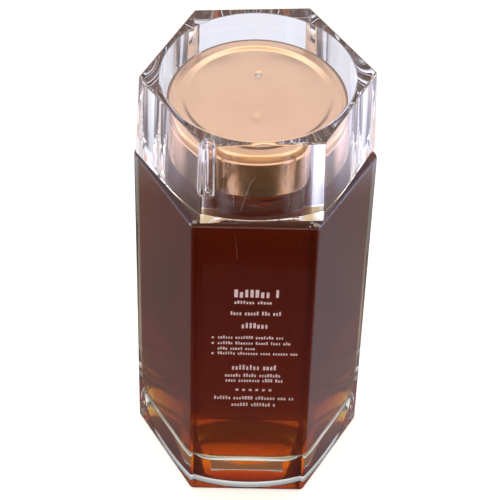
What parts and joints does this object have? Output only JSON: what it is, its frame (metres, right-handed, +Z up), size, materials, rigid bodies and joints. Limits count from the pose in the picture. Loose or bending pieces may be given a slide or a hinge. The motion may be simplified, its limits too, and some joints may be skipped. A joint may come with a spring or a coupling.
{
  "type": "honey jar",
  "caption": "Tall hexagonal glass jar of dark amber honey, with a gold metal lid under a clear hexagonal cap, a clear film label on one flat side and a small plain sticker underneath.",
  "frame": {"origin": "centre of the jar's foot, on the surface it stands on", "axes": "+Z up the jar; -Y out of the flat side that carries the label; +X to the label's right, through a corner of the hexagon"},
  "size_m": [0.0734, 0.0649, 0.1551],
  "materials": {
    "glass": "clear polished jar glass",
    "honey": "dark amber honey, clear and glossy",
    "gold_metal": "satin gold lacquer on thin steel",
    "clear_cap": "clear acrylic with fine scratches",
    "label_film": "clear film with pale print",
    "sticker_paper": "plain off-white paper"
  },
  "bodies": {
    "root": {"jar": "glass", "honey": "honey", "lid": "gold_metal", "cap": "clear_cap", "label": "label_film", "sticker": "sticker_paper"}
  },
  "joints": []
}
